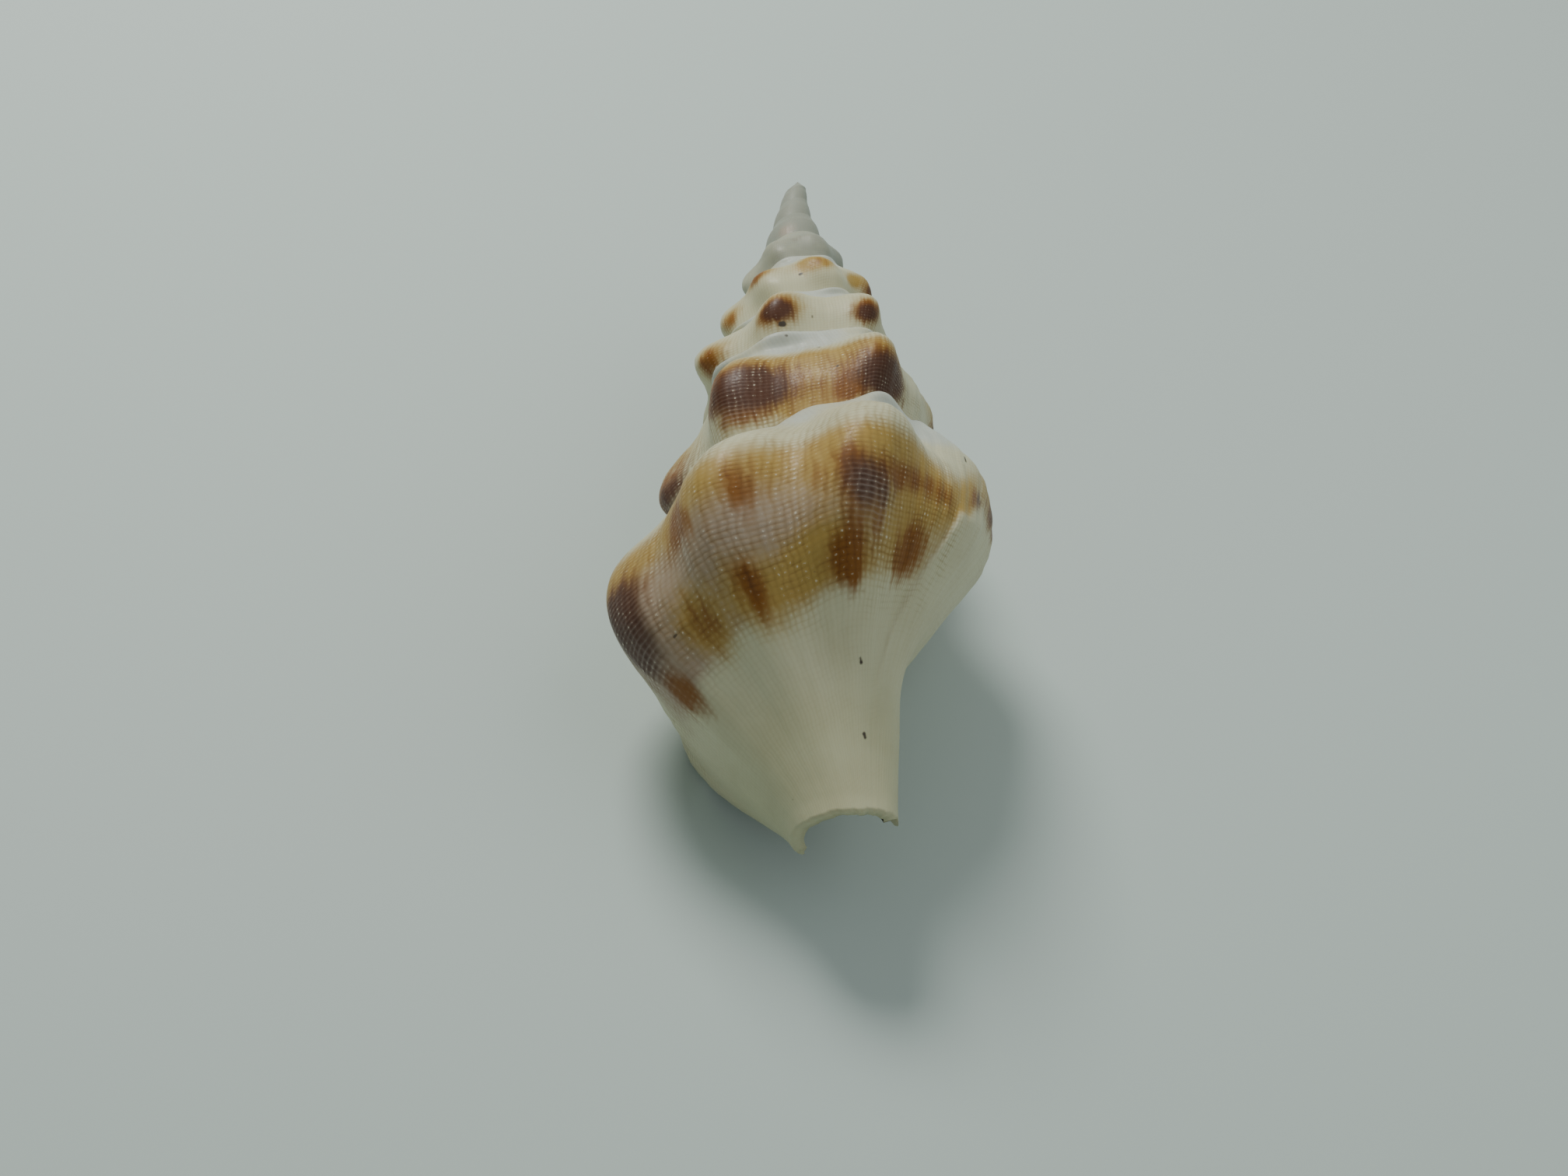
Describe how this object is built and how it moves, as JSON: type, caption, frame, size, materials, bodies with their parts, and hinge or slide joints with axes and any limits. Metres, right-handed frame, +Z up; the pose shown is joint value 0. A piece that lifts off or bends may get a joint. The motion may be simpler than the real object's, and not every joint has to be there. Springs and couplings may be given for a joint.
{
  "type": "sea snail shell",
  "caption": "Spindle-shaped spiral sea snail shell with a tall ribbed spire, a keeled body whorl, a thin outer lip and a short open canal.",
  "frame": {"origin": "centre of the bounding box on the plane that the shell rests on", "axes": "+Z up with the opening underneath, +Y along the shell's axis towards the tip of the spire, -Y towards the canal, +X to the right seen from the canal"},
  "size_m": [0.0106, 0.0222, 0.01],
  "materials": {
    "shell_lime": "satin"
  },
  "bodies": {
    "root": {"shell": "shell_lime"}
  },
  "joints": []
}
